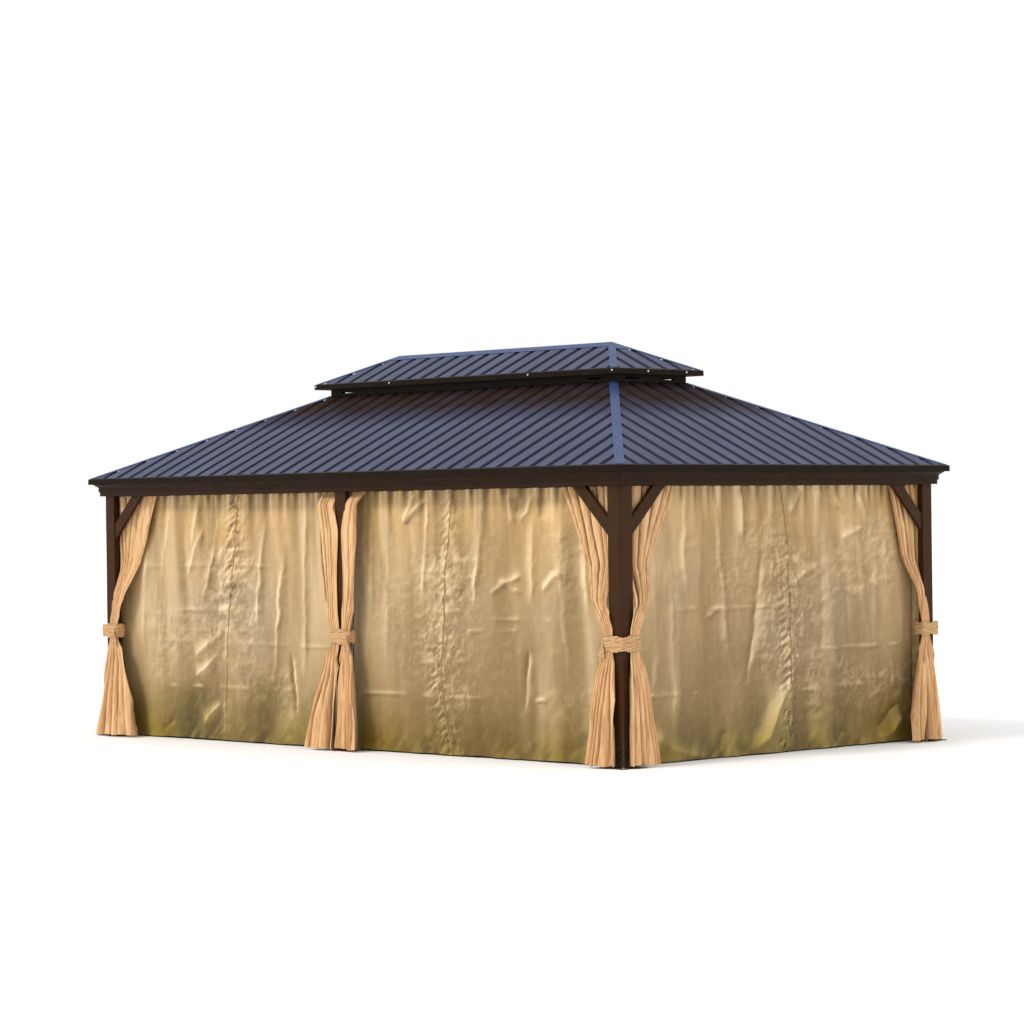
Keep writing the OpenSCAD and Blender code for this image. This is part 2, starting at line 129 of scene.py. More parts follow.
def smooth(x, lo, hi):
    """A soft step from 0 at lo to 1 at hi."""
    t = np.clip((np.asarray(x, float) - lo) / (hi - lo), 0, 1)
    return t * t * (3 - 2 * t)


# ---- Mesh pieces ----
def ready(obj, material):
    bpy.context.scene.collection.objects.link(obj)
    obj.data.materials.append(material)
    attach(obj, "root")
    return obj


def mesh_piece(name, points, faces, material, values=None, flat=False):
    mesh = bpy.data.meshes.new(name)
    mesh.from_pydata(points, [], faces)
    if not flat:
        mesh.polygons.foreach_set("use_smooth", [True] * len(mesh.polygons))
    for key, array in (values or {}).items():
        array = np.asarray(array, np.float32)
        if array.ndim == 1:
            layer = mesh.attributes.new(key, "FLOAT", "POINT")
            layer.data.foreach_set("value", array)
        else:
            layer = mesh.attributes.new(key, "FLOAT_VECTOR", "POINT")
            layer.data.foreach_set("vector", array.reshape(-1))
    mesh.update()
    return ready(bpy.data.objects.new(name, mesh), material)


def grid_faces(rows, cols, ring=False):
    index = np.arange(rows * cols).reshape(rows, cols)
    if ring:
        index = np.concatenate([index, index[:, :1]], 1)
    a, b, c, d = index[:-1, :-1], index[:-1, 1:], index[1:, 1:], index[1:, :-1]
    return np.stack([a, d, c, b], -1).reshape(-1, 4).tolist()


def grid_piece(name, points, material, values, ring=False):
    rows, cols = points.shape[:2]
    values = {key: v.reshape(-1, 3) if v.ndim == 3 else v.reshape(-1) for key, v in values.items()}
    faces = grid_faces(rows, cols, ring)
    return mesh_piece(name, points.reshape(-1, 3).tolist(), faces, material, values)


class Parts:
    """Many small solids gathered into one mesh."""

    def __init__(self):
        self.points = []
        self.faces = []

    def lathe(self, centre, normal, profile, sides):
        """profile: (radius, height) pairs from the base up; radius 0 closes it."""
        normal = Vector(normal).normalized()
        side = normal.orthogonal().normalized()
        other = normal.cross(side)
        rings = []
        for radius, height in profile:
            start = len(self.points)
            if radius == 0:
                self.points.append(centre + normal * height)
                rings.append([start])
                continue
            for k in range(sides):
                angle = 2 * math.pi * k / sides
                spoke = side * math.cos(angle) + other * math.sin(angle)
                self.points.append(centre + normal * height + spoke * radius)
            rings.append(list(range(start, start + sides)))
        for lower, upper in zip(rings, rings[1:]):
            for k in range(sides):
                n = (k + 1) % sides
                if len(upper) == 1:
                    self.faces.append([lower[k], lower[n], upper[0]])
                elif len(lower) == 1:
                    self.faces.append([lower[0], upper[n], upper[k]])
                else:
                    self.faces.append([lower[k], lower[n], upper[n], upper[k]])

    def bolt(self, centre, normal, head, high):
        """A washer with a hexagon head on it, closed below."""
        washer = head * 1.5
        self.lathe(
            centre, normal, [(0, 0), (washer, 0), (washer, high * 0.2), (0, high * 0.2)], 18
        )
        self.lathe(
            centre, normal,
            [(head, high * 0.15), (head, high * 0.85), (head * 0.85, high), (0, high)], 6,
        )

    def dome(self, centre, normal, radius, high):
        self.lathe(
            centre, normal,
            [(0, 0), (radius, 0), (radius, high * 0.3), (radius * 0.8, high * 0.75), (0, high)], 12,
        )

    def ring(self, centre, axis, radius, wire):
        axis = Vector(axis).normalized()
        side = axis.orthogonal().normalized()
        other = axis.cross(side)
        start, around, section = len(self.points), 12, 6
        for k in range(around):
            turn = 2 * math.pi * k / around
            spoke = side * math.cos(turn) + other * math.sin(turn)
            for j in range(section):
                angle = 2 * math.pi * j / section
                inward = spoke * (radius + wire * math.cos(angle))
                self.points.append(centre + inward + axis * wire * math.sin(angle))
        for k in range(around):
            for j in range(section):
                a = start + k * section + j
                b = start + k * section + (j + 1) % section
                c = start + (k + 1) % around * section + (j + 1) % section
                d = start + (k + 1) % around * section + j
                self.faces.append([a, d, c, b])

    def block(self, centre, size, axes):
        """A small box, with its size along each of three axes."""
        a, b, c = (Vector(v) * s / 2 for v, s in zip(axes, size))
        start = len(self.points)
        for i in (-1, 1):
            for j in (-1, 1):
                for k in (-1, 1):
                    self.points.append(centre + a * i + b * j + c * k)
        sides = ((0, 1, 3, 2), (4, 6, 7, 5), (0, 4, 5, 1), (2, 3, 7, 6), (0, 2, 6, 4), (1, 5, 7, 3))
        for quad in sides:
            self.faces.append([start + q for q in quad])

    def piece(self, name, material, flat=True):
        points = [tuple(p) for p in self.points]
        return mesh_piece(name, points, self.faces, material, None, flat)


# ---- Materials ----
class Finish:
    """A node material around one Principled shader."""

    def __init__(self, name, **values):
        self.material = bpy.data.materials.new(name)
        self.material.use_nodes = True
        self.tree = self.material.node_tree
        self.shader = self.tree.nodes["Principled BSDF"]
        for key, value in values.items():
            self.feed(self.shader.inputs[key.replace("_", " ")], value)
        self.coordinates = self.tree.nodes.new("ShaderNodeTexCoord").outputs["Object"]

    def feed(self, socket, value):
        if isinstance(value, bpy.types.NodeSocket):
            self.tree.links.new(value, socket)
        else:
            socket.default_value = value

    def node(self, kind, inputs, output=0, **settings):
        node = self.tree.nodes.new("ShaderNode" + kind)
        for key, value in settings.items():
            setattr(node, key, value)
        for key, value in inputs.items():
            self.feed(node.inputs[key], value)
        return node.outputs[output]

    def math(self, operation, a, b=0.0):
        return self.node("Math", {0: a, 1: b}, operation=operation)

    def map(self, value, lo, hi, to_lo=0.0, to_hi=1.0):
        return self.node("MapRange", {"Value": value, "From Min": lo, "From Max": hi,
                                      "To Min": to_lo, "To Max": to_hi})

    def scaled(self, factors, vector=None):
        return self.node("Mapping", {"Vector": vector or self.coordinates, "Scale": factors})

    def noise(self, scale, detail=3.0, rough=0.5, vector=None):
        return self.node("TexNoise", {"Vector": vector or self.coordinates, "Scale": scale,
                                      "Detail": detail, "Roughness": rough}, "Fac")

    def relief(self, scale, step, detail, factors=(1.0, 1.0, 1.0)):
        """Fine creases lit from one side: bright on the one flank and dark on the other."""
        flanks = []
        for offset in ((0.0, 0.0, 0.0), (step, step, -step)):
            moved = self.node("VectorMath", {0: self.coordinates, 1: offset}, operation="ADD")
            crease = self.noise(scale, detail, 0.6, self.scaled(factors, moved))
            flanks.append(self.math("ABSOLUTE", self.math("SUBTRACT", crease, 0.5)))
        return self.math("SUBTRACT", *flanks)

    def flanked(self, colour, relief, reach, light, dark):
        """Paint a relief's bright and dark flanks; light and dark are (share, colour)."""
        for side, (share, paint) in ((reach, light), (-reach, dark)):
            colour = self.mix(self.map(relief, 0.0, side, 0.0, share), colour, paint)
        return colour

    def times(self, *factors):
        return self.math("MULTIPLY", *factors)

    def across(self, axis):
        """The place along one axis of the frame, in metres."""
        return self.node("SeparateXYZ", {"Vector": self.coordinates}, axis)

    def attribute(self, name, output="Fac"):
        return self.node("Attribute", {}, output, attribute_name=name)

    def mix(self, factor, a, b, kind="MIX"):
        node = self.tree.nodes.new("ShaderNodeMix")
        node.data_type, node.blend_type = "RGBA", kind
        self.feed(node.inputs[0], factor)
        for socket, value in ((node.inputs[6], a), (node.inputs[7], b)):
            self.feed(socket, (*value, 1.0) if isinstance(value, tuple) else value)
        return node.outputs[2]

    def bump(self, height, strength, distance, normal=None):
        inputs = {"Height": height, "Strength": strength, "Distance": distance}
        if normal:
            inputs["Normal"] = normal
        return self.node("Bump", inputs)

    def done(self, colour=None, normal=None, roughness=None):
        if colour:
            self.feed(self.shader.inputs["Base Color"], colour)
        if normal:
            self.feed(self.shader.inputs["Normal"], normal)
        if roughness:
            self.feed(self.shader.inputs["Roughness"], roughness)
        return self.material


DUST = (0.22, 0.19, 0.15)


def powder_coat(name, colour, worn, rough, gloss):
    """Baked powder paint: an orange-peel skin, faint clouding, and dust towards the floor."""
    f = Finish(name, Specular_IOR_Level=gloss)
    cloud = f.noise(7.0, 4.0, 0.6)
    fine = f.noise(900.0, 2.0, 0.5)
    colour = f.mix(f.map(cloud, 0.35, 0.7), colour, worn)
    height = f.across("Z")
    dust = f.times(f.map(height, 0.35, 0.0), f.map(f.noise(60.0, 4.0, 0.7), 0.4, 0.75))
    colour = f.mix(f.times(dust, 0.35), colour, DUST)
    normal = f.bump(fine, 0.25, 0.0004)
    roughness = f.map(f.noise(25.0, 3.0, 0.6), 0.3, 0.7, rough - 0.05, rough + 0.09)
    return f.done(colour, normal, roughness)


RIB_PITCH = 0.170
VALLEY_HALF = 0.031  # half a valley, a rib's side and 2 mm of its top
UNDER_TIER_SHADOW = (0.018, 0.008, 0.004)  # painted shadow and reflection of the upper tier on the lower roof just below it


def darker(colour, share):
    return tuple(c * share for c in colour)


def roof_paint(name, colour, dark, axis):
    """Coated roof sheet, with painted shade in the valleys between the ribs, which run across axis.
    """
    f = Finish(name, Specular_IOR_Level=0.12)
    place = f.math("FRACT", f.math("DIVIDE", f.across(axis), RIB_PITCH))
    from_middle = f.math("ABSOLUTE", f.math("SUBTRACT", place, 0.5))
    from_middle = f.times(from_middle, RIB_PITCH)
    # painted shade in the valleys and on the ribs' sides
    valley_shade = f.map(from_middle, VALLEY_HALF + 0.006, VALLEY_HALF - 0.004)
    stretch = (14.0, 2.5, 2.5) if axis == "X" else (2.5, 14.0, 2.5)
    streaks = f.noise(1.0, 4.0, 0.65, f.scaled(stretch))
    cloud = f.noise(2.2, 3.0, 0.55)
    tone = f.mix(f.map(cloud, 0.35, 0.68), colour, darker(colour, 0.78))
    streaked = f.times(f.map(streaks, 0.45, 0.75), 0.45)
    tone = f.mix(streaked, tone, darker(colour, 1.3))
    tone = f.mix(valley_shade, tone, dark)
    height = f.across("Z")
    # painted shadow and reflection of the upper tier: darker and rougher in a band just below it
    tier_shadow = f.times(f.map(height, 2.44, 2.60), f.map(height, 2.80, 2.78))
    patchy = f.map(f.noise(5.0, 3.0, 0.6), 0.3, 0.6, 0.75, 1.0)
    tier_shadow = f.times(tier_shadow, patchy)
    speck = f.map(f.noise(160.0, 3.0, 0.7), 0.30, 0.62, 0.0, 0.5)
    tone = f.mix(speck, tone, darker(colour, 0.55))
    tone = f.mix(tier_shadow, tone, UNDER_TIER_SHADOW)
    normal = f.bump(f.noise(700.0, 2.0, 0.5), 0.2, 0.0004)
    normal = f.bump(f.noise(9.0, 2.0, 0.5), 0.25, 0.004, normal)
    roughness = f.map(streaks, 0.3, 0.75, 0.34, 0.50)
    roughness = f.math("ADD", roughness, f.times(tier_shadow, 0.45))
    return f.done(tone, normal, roughness)


def weave(f, pitch):
    """The height of a plain weave, from the cloth's own flat coordinates in metres."""
    flat = f.attribute("cloth", "Vector")
    threads = []
    for axis in "XY":
        along = f.node("SeparateXYZ", {"Vector": flat}, axis)
        threads.append(f.math("SINE", f.times(along, 2 * math.pi / pitch)))
    return f.times(*threads)


# The net's colour from the floor up, as shares of 2 m
NET_TONES = [
    (0.02, (0.100, 0.066, 0.003)), (0.12, (0.135, 0.090, 0.008)),
    (0.23, (0.265, 0.175, 0.064)), (0.52, (0.425, 0.286, 0.140)),
    (0.78, (0.510, 0.318, 0.130)), (0.97, (0.560, 0.344, 0.128)),
]
NET_LIT = (0.84, 0.64, 0.38)
NET_SHADED = (0.150, 0.088, 0.028)


def net_cloth(name):
    """Sheer, slightly glossy netting with a crinkled hand and packing creases."""
    f = Finish(name, Specular_IOR_Level=0.35, Sheen_Weight=0.08, Sheen_Roughness=0.4)
    height = f.across("Z")
    cloud = f.noise(1.7, 3.0, 0.55)
    level = f.math("ADD", height, f.map(cloud, 0.3, 0.7, -0.20, 0.20))
    ramp = f.tree.nodes.new("ShaderNodeValToRGB")
    elements = ramp.color_ramp.elements
    while len(elements) < len(NET_TONES):
        elements.new(0.5)
    for element, (place, colour) in zip(elements, NET_TONES):
        element.position, element.color = place, (*colour, 1.0)
    f.feed(ramp.inputs[0], f.map(level, 0.0, 2.0))
    colour = ramp.outputs[0]

    # greyer patches half way up, and painted light on the cloth beside the curtains
    grey = f.times(f.map(f.noise(1.3, 2.0, 0.5), 0.45, 0.62), 0.55)
    band = f.times(f.map(height, 0.25, 0.8), f.map(height, 1.7, 1.1))
    colour = f.mix(f.times(grey, band), colour, (0.36, 0.29, 0.185))
    edge = f.times(f.attribute("edge"), 0.40)
    colour = f.mix(edge, colour, (0.74, 0.54, 0.29))

    # the short walls are darker at the top, the long walls' right bays at the bottom
    side, front = f.across("X"), f.across("Y")
    short_wall = f.times(
        f.map(f.math("ABSOLUTE", side), 2.80, 2.84), f.map(f.math("ABSOLUTE", front), 1.62, 1.58)
    )
    top = f.times(f.map(height, 0.9, 1.7, 0.0, 0.32), short_wall)
    colour = f.mix(top, colour, (0.17, 0.105, 0.035))
    long_wall = f.math("SUBTRACT", 1.0, short_wall)
    bay = f.times(f.map(side, -0.6, 1.2, 0.0, 0.65), long_wall)
    bottom = f.times(f.map(height, 1.7, 0.5), bay)
    colour = f.mix(bottom, colour, (0.225, 0.140, 0.042))

    # the folds: painted shade and highlights from their slope and from how far they stand out
    shade = f.attribute("shade")
    colour = f.mix(f.map(shade, 0.48, 0.12, 0.0, 0.88), colour, (0.125, 0.068, 0.018))
    colour = f.mix(f.map(shade, 0.52, 0.88, 0.0, 0.92), colour, (0.92, 0.70, 0.42))
    lift_painted_light = f.attribute("lift_painted_light")
    colour = f.mix(f.map(lift_painted_light, 0.60, 1.0, 0.0, 0.35), colour, (0.72, 0.52, 0.28))
    colour = f.mix(f.map(lift_painted_light, 0.40, 0.0, 0.0, 0.45), colour, (0.22, 0.135, 0.045))
    streak = f.noise(1.0, 3.0, 0.55, f.scaled((4.5, 4.5, 0.7)))
    colour = f.mix(f.map(streak, 0.52, 0.36, 0.0, 0.55), colour, (0.230, 0.140, 0.046))
    crumple = f.map(f.attribute("crumple"), 0.0, 1.0, 0.15, 1.0)
    creases = f.times(f.relief(7.0, 0.013, 1.5), crumple)
    colour = f.flanked(colour, creases, 0.12, (0.50, NET_LIT), (0.40, NET_SHADED))
    small = f.times(f.relief(24.0, 0.005, 2.0), crumple)
    colour = f.flanked(colour, small, 0.12, (0.24, NET_LIT), (0.20, NET_SHADED))

    # the olive hem
    hem = f.map(f.math("ADD", height, f.map(cloud, 0.3, 0.7, -0.05, 0.05)), 0.48, 0.08)
    colour = f.mix(hem, colour, (0.60, 0.575, 0.20), "MULTIPLY")
    crinkle = f.noise(30.0, 5.0, 0.62)
    normal = f.bump(f.times(crinkle, crumple), 0.6, 0.010)
    normal = f.bump(weave(f, 0.0016), 0.25, 0.0003, normal)
    return f.done(colour, normal, f.map(crinkle, 0.3, 0.7, 0.34, 0.50))


CURTAIN_THREAD = 0.0012


def curtain_cloth(name):
    """Matte polyester, with painted light on the folds' crests and painted shade in their valleys.
    """
    f = Finish(name, Specular_IOR_Level=0.2, Sheen_Weight=0.1, Sheen_Roughness=0.5)
    fold_shade = f.attribute("fold_shade")
    streaks = f.noise(1.0, 4.0, 0.6, f.scaled((26.0, 26.0, 2.5)))
    light = f.mix(f.map(streaks, 0.35, 0.7), (0.76, 0.48, 0.245), (0.60, 0.345, 0.150))
    colour = f.mix(f.map(fold_shade, 0.66, 0.10, 0.0, 0.95), light, (0.115, 0.046, 0.013))
    creases = f.noise(1.0, 4.0, 0.65, f.scaled((16.0, 16.0, 9.0)))
    line = f.relief(1.0, 0.007, 2.5, (11.0, 11.0, 2.6))
    colour = f.flanked(
        colour, line, 0.10, (0.35, (0.86, 0.58, 0.32)), (0.42, (0.28, 0.132, 0.042))
    )
    wrinkles = f.noise(1.0, 4.0, 0.6, f.scaled((48.0, 48.0, 12.0)))
    normal = f.bump(wrinkles, 0.6, 0.008)
    normal = f.bump(creases, 0.5, 0.012, normal)
    normal = f.bump(weave(f, CURTAIN_THREAD), 0.3, 0.0003, normal)
    return f.done(colour, normal, f.map(wrinkles, 0.3, 0.7, 0.72, 0.86))


def band_cloth(name):
    """The curtains' cloth, bunched into fine lines along the band."""
    f = Finish(name, Specular_IOR_Level=0.25, Sheen_Weight=0.2, Sheen_Roughness=0.5)
    lines = f.noise(1.0, 4.0, 0.65, f.scaled((25.0, 25.0, 160.0)))
    # painted shade in the hollows between the bunched lines
    colour = f.mix(f.map(lines, 0.32, 0.58), (0.34, 0.175, 0.062), (0.56, 0.33, 0.145))
    crease = f.relief(1.0, 0.004, 2.5, (12.0, 12.0, 42.0))
    colour = f.flanked(
        colour, crease, 0.10, (0.50, (0.80, 0.53, 0.28)), (0.50, (0.20, 0.092, 0.030))
    )
    normal = f.bump(lines, 0.6, 0.004)
    normal = f.bump(weave(f, CURTAIN_THREAD), 0.3, 0.0003, normal)
    return f.done(colour, normal, f.map(lines, 0.3, 0.7, 0.74, 0.86))


def plain_metal(name, colour, rough):
    """Zinc-plated steel, slightly mottled."""
    f = Finish(name, Metallic=1.0)
    tone = f.mix(f.noise(300.0, 3.0, 0.6), colour, darker(colour, 0.7))
    return f.done(tone, f.bump(f.noise(1500.0, 2.0, 0.5), 0.2, 0.0002),
                  f.map(f.noise(200.0, 3.0, 0.6), 0.3, 0.7, rough, rough + 0.15))


def moulded(name, colour, rough):
    """Plastic with a fine grain."""
    f = Finish(name, Specular_IOR_Level=0.4)
    tone = f.mix(f.noise(120.0, 3.0, 0.6), colour, darker(colour, 0.8))
    return f.done(tone, f.bump(f.noise(1200.0, 2.0, 0.5), 0.2, 0.0002),
                  f.map(f.noise(90.0, 2.0, 0.5), 0.3, 0.7, rough, rough + 0.1))


BRONZE = powder_coat(
    "bronze_powder_coat", (0.043, 0.0155, 0.0028), (0.033, 0.0120, 0.0022), 0.44, 0.12
)
# a darker copy of the bronze coat for the beams: painted shade under the eaves
BEAM_SHADED_BRONZE = powder_coat(
    "bronze_beam_shaded_coat", (0.024, 0.0095, 0.0024), (0.017, 0.0068, 0.0018), 0.42, 0.10
)
BLACK = powder_coat(
    "black_trim_coat", (0.0090, 0.0052, 0.0026), (0.0130, 0.0080, 0.0045), 0.40, 0.06
)
ROOF = (0.045, 0.054, 0.119)
# the painted shade in the roof's valleys
ROOF_VALLEY_SHADE = (0.0085, 0.0105, 0.022)
ROOF_X = roof_paint("roof_sheet_long_sides", ROOF, ROOF_VALLEY_SHADE, "X")
ROOF_Y = roof_paint("roof_sheet_short_sides", ROOF, ROOF_VALLEY_SHADE, "Y")
CAP = powder_coat(
    "roof_cap_coat", (0.030, 0.056, 0.160), (0.024, 0.044, 0.125), 0.38, 0.15
)
NET = net_cloth("sheer_net")
CURTAIN = curtain_cloth("tan_curtain")
BAND = band_cloth("tie_band_cloth")
STEEL = plain_metal("zinc_screw", (0.72, 0.72, 0.70), 0.28)
PLASTIC = moulded("glider_plastic", (0.035, 0.030, 0.026), 0.42)
ZIP = moulded("zip_tape", (0.33, 0.225, 0.100), 0.60)

FINISHES = [
    (("corner_post", "middle_post", "foot_plates", "corner_braces", "curtain_rails",
      "hip_rafters", "middle_rafters"), BRONZE),
    (("beam_",), BEAM_SHADED_BRONZE),
    (("eave_trim", "vent_frame", "upper_trim"), BLACK),
    (("lower_roof_front", "lower_roof_back", "upper_roof_front", "upper_roof_back"), ROOF_X),
    (("lower_roof_left", "lower_roof_right", "upper_roof_left", "upper_roof_right"), ROOF_Y),
    (("lower_hip_caps", "upper_hip_caps", "ridge_cap"), CAP),
]
BEVELLED = ("corner_post", "middle_post", "beam_", "eave_trim", "upper_trim", "corner_braces")
BEVEL_W = 0.0022
for node_name, node in NODES.items():
    for starts, material in FINISHES:
        if node_name.startswith(starts):
            node.data.materials.clear()
            node.data.materials.append(material)
    if node_name.startswith(BEVELLED):
        bevel = node.modifiers.new("worn_edge", "BEVEL")
        bevel.width, bevel.segments, bevel.limit_method = BEVEL_W, 2, "ANGLE"
        bevel.angle_limit = math.radians(40)


# ---- Nets ----
def stroke(u, z, points, width, height):
    """A soft ridge along a line of (u, z) points, fading out at both ends."""
    points = np.array(points, float)
    lengths = np.hypot(*np.diff(points, axis=0).T)
    total = lengths.sum()
    best = np.full(u.shape, 1e9)
    along = np.zeros(u.shape)
    start = 0.0
    for (p, q), length in zip(zip(points, points[1:]), lengths):
        t = np.clip(((u - p[0]) * (q[0] - p[0]) + (z - p[1]) * (q[1] - p[1])) / length**2, 0, 1)
        d = np.hypot(u - p[0] - t * (q[0] - p[0]), z - p[1] - t * (q[1] - p[1]))
        nearer = d < best
        best = np.where(nearer, d, best)
        along = np.where(nearer, (start + t * length) / total, along)
        start += length
    fade = smooth(along, 0.0, 0.22) * smooth(along, 1.0, 0.70)
    crest = 0.6 * np.exp(-best / (0.9 * width)) + 0.4 * np.exp(-((best / (3.0 * width)) ** 2))
    return height * fade * crest


def seam_line(points, z):
    """Where the zip's seam is at each height."""
    points = np.array(sorted(points, key=lambda p: p[1]))
    return np.interp(z, points[:, 1], points[:, 0])


def in_metres(folds, by=0.0):
    """The same folds in metres, for a net that starts this much further left."""

    def moved(line):
        return [(u / 100 + by, z / 100) for u, z in line]

    made = {"seam": moved(folds["seam"]), "seed": folds["seed"]}
    for kind in ("ridges", "sweeps"):
        made[kind] = [(moved(line), w / 1000, h / 1000) for line, w, h in folds[kind]]
    made["creases"] = [
        (z / 100, a / 100 + by, b / 100 + by, h / 1000) for z, a, b, h in folds["creases"]
    ]
    return made


def gliders(name, wall, places, set_back):
    """Plastic rings in the rail, one at each place along the wall."""
    rings = Parts()
    for u in places:
        rings.ring(wall.point(u, -set_back, DRAPE_TOP - 0.004), wall.along, 0.007, 0.0016)
    return rings.piece(name + "_gliders", PLASTIC, False)


NET_STEP = 0.0135  # between the net's points along the wall
NET_ROWS = 150
# The zip's section as (across, out), and where its points lie on the flat tape
ZIP_SECTION = [
    (-0.006, 0.0005), (-0.0025, 0.001), (-0.0015, 0.0030),
    (0.0015, 0.0030), (0.0025, 0.001), (0.006, 0.0005),
]
ZIP_FLAT = [0.0, 0.008, 0.009, 0.013, 0.014, 0.022]


def net_piece(name, node, wall, start, length, seam, ridges, creases, sweeps, seed):
    """A net that hangs from its gliders in one bay, with its zip."""
    cols, rows = int(length / NET_STEP), NET_ROWS
    u_line = np.linspace(0, length, cols)
    v_line = np.linspace(0, 1, rows) ** 1.04
    u, v = np.meshgrid(u_line, v_line)
    z = DRAPE_TOP - v * (DRAPE_TOP - HEM_Z)
    drop = DRAPE_TOP - z
    rise = z - HEM_Z

    # the gathered heading: the net hangs from hooks, with a swag between each two
    rng = np.random.default_rng(seed)
    count = max(4, round(length / 0.17))
    hooks = np.linspace(0.02, length - 0.02, count)
    hooks += np.pad(rng.uniform(-0.025, 0.025, count - 2), 1)
    turn = np.interp(u, hooks, np.arange(count))
    swag = np.sin(math.pi * turn) ** 2
    deep = 0.6 + 0.4 * noise(seed + 1, turn, 0 * turn)
    d = 0.014 * (0.5 - swag) * np.exp(-drop / (0.16 * deep + 0.03))
    gathers = np.sin(2 * math.pi * turn * 2 + 3 * noise(seed + 2, u * 2, z))
    d += 0.0045 * gathers * np.exp(-drop / 0.10)
    sag = 0.004 * deep * np.abs(np.sin(math.pi * turn)) ** 1.3 * np.exp(-drop / 0.09)

    # slow billows and long soft folds
    d += 0.009 * noise(seed + 3, u * 1.6, z * 0.8) + 0.010 * noise(seed + 4, u * 4.2, z * 0.7)
    d += 0.0065 * noise(seed + 5, u * 10 + 1.2 * z, z * 0.9) * (0.35 + 0.65 * smooth(z, 0.7, 1.6))
    wander_u = u + 0.014 * noise(seed + 20, u * 8, z * 8) + 0.005 * noise(seed + 21, u * 26, z * 26)
    wander_z = z + 0.012 * noise(seed + 22, u * 8, z * 8)
    uneven = 0.75 + 0.35 * noise(seed + 23, u * 6, z * 6)
    for points, width, height in ridges:
        d += uneven * stroke(wander_u, wander_z, points, width, height * 1.75)

    # packing creases
    for level, from_u, to_u, height in creases:
        wander = level + 0.012 * noise(seed + 6, u * 2.5, 0 * z + level * 9)
        broken = smooth(noise(seed + 7, u * 6, 0 * z + level * 31), -0.45, 0.25)
        inside = smooth(u, from_u - 0.05, from_u + 0.05) * smooth(u, to_u + 0.05, to_u - 0.05)
        crease = (z - wander) / 0.011
        d += 1.3 * height * broken * inside * np.exp(-np.abs(crease)) * (1 + 0.5 * np.tanh(crease))

    # crinkles along the zip's seam
    line = seam_line(seam, z)
    side = u - line
    near = np.exp(-((side / 0.10) ** 2)) * smooth(noise(seed + 8, z * 2.2, 0 * z), -0.6, 0.4)
    slant = z + 0.55 * np.abs(side)
    d += near * 0.0075 * (0.5 - np.abs(noise(seed + 9, side * 16, slant * 34))) * 2
    d += near * 0.0040 * noise(seed + 10, side * 60, slant * 75)
    d += 0.0025 * np.exp(-((side / 0.006) ** 2))

    # crumpled areas beside the seam and in patches over the whole net
    beside = np.exp(-((side / 0.30) ** 2)) * smooth(z, 0.45, 0.75) * smooth(z, 1.65, 1.40)
    patch = 0.6 * smooth(noise(seed + 11, u * 1.9, z * 2.3), -0.05, 0.6) * smooth(drop, 0.10, 0.35)
    patch *= 0.25 + 0.75 * smooth(rise, 0.1, 0.5)
    crumple = np.maximum(beside, patch) * (0.75 + 0.35 * noise(seed + 24, u * 5, z * 5))
    crumple = np.clip(crumple, 0, 1)
    d += crumple * 0.0058 * (1 - 2 * np.abs(noise(seed + 12, u * 6 + z * 3, z * 11)))
    d += crumple * 0.0024 * (1 - 2 * np.abs(noise(seed + 13, u * 17 - z * 7, z * 25)))
    d += (0.1 + crumple) * 0.0006 * noise(seed + 25, u * 48, z * 48)

    # how far the folds stand out, for their painted highlights and painted shade
    lift_painted_light = d - 0.009 * noise(seed + 3, u * 1.6, z * 0.8)

    # the hem lies in small tucks and eases outwards
    low_down = np.exp(-rise / 0.055)
    tucks = noise(seed + 14, u * 7.0 + rise * 9, rise * 6)
    d += low_down * (0.009 * tucks + 0.005 * noise(seed + 15, u * 16 - rise * 12, rise * 10))
    d += 0.018 * np.exp(-rise / 0.12)
    for points, width, height in sweeps:
        swept = uneven * stroke(wander_u, wander_z, points, width, height)
        d, lift_painted_light = d + swept, lift_painted_light + swept
    hem = -0.010 * low_down * (0.5 + 0.5 * noise(seed + 16, u * 4.5, 0 * z))

    # both ends stay flat behind the posts and curtains
    ends = smooth(u, 0.0, 0.10) * smooth(length - u, 0.0, 0.10)
    d = np.clip(d * (0.35 + 0.65 * ends), -0.030, 0.034)
    points = wall.place(start + u, -NET_SET + d, z - sag + hem * 0.6)

    # painted shade and highlights of the folds, from their slope as if lit from the upper left
    slope_z, slope_u = np.gradient(d, z[:, 0], u_line)
    lit = (0.75 * slope_u - 0.6 * slope_z) * (0.45 + 0.55 * smooth(rise, 0.0, 0.16))
    shade = np.clip(0.5 + 1.45 * lit, 0, 1)
    lift_painted_light = np.clip(0.5 + lift_painted_light / 0.022, 0, 1)
    # where light is painted on the net beside the curtains
    edge = np.maximum(smooth(u, 0.85, 0.30), smooth(length - u, 0.85, 0.30)) * smooth(z, 2.0, 1.3)
    cloth = np.stack([u, z, 0 * z], -1)
    net = grid_piece(name, points, NET, {
        "lift_painted_light": lift_painted_light, "shade": shade, "crumple": crumple, "edge": edge, "cloth": cloth})
    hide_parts(node)

    # the zip: a narrow tape on the seam, with its coil and a slider
    at = np.clip(np.searchsorted(u_line, line[:, 0]), 3, cols - 4)
    strip = []
    for row in range(rows):
        middle = points[row, at[row] - 2:at[row] + 3].mean(0)
        for across, out in ZIP_SECTION:
            strip.append(middle + wall.along * across + wall.out * (out + 0.0015))
    strip = np.array(strip).reshape(rows, 6, 3)
    tape_cloth = np.stack([*np.meshgrid(ZIP_FLAT, v_line * 1.92), np.zeros((rows, 6))], -1)
    tape = grid_piece(name + "_zip", strip, ZIP, {"cloth": tape_cloth})
    slider = Parts()
    row = int(rows * 0.42)
    centre = Vector(strip[row].mean(0)) + Vector(wall.out) * 0.004
    axes = (Vector(wall.along), UP, Vector(wall.out))
    slider.block(centre, (0.011, 0.014, 0.005), axes)
    slider.block(centre + Vector(wall.out) * 0.004 - UP * 0.018, (0.006, 0.030, 0.0015), axes)
    pull = slider.piece(name + "_zip_slider", ZIP)

    rings = gliders(name, wall, start + hooks, NET_SET)


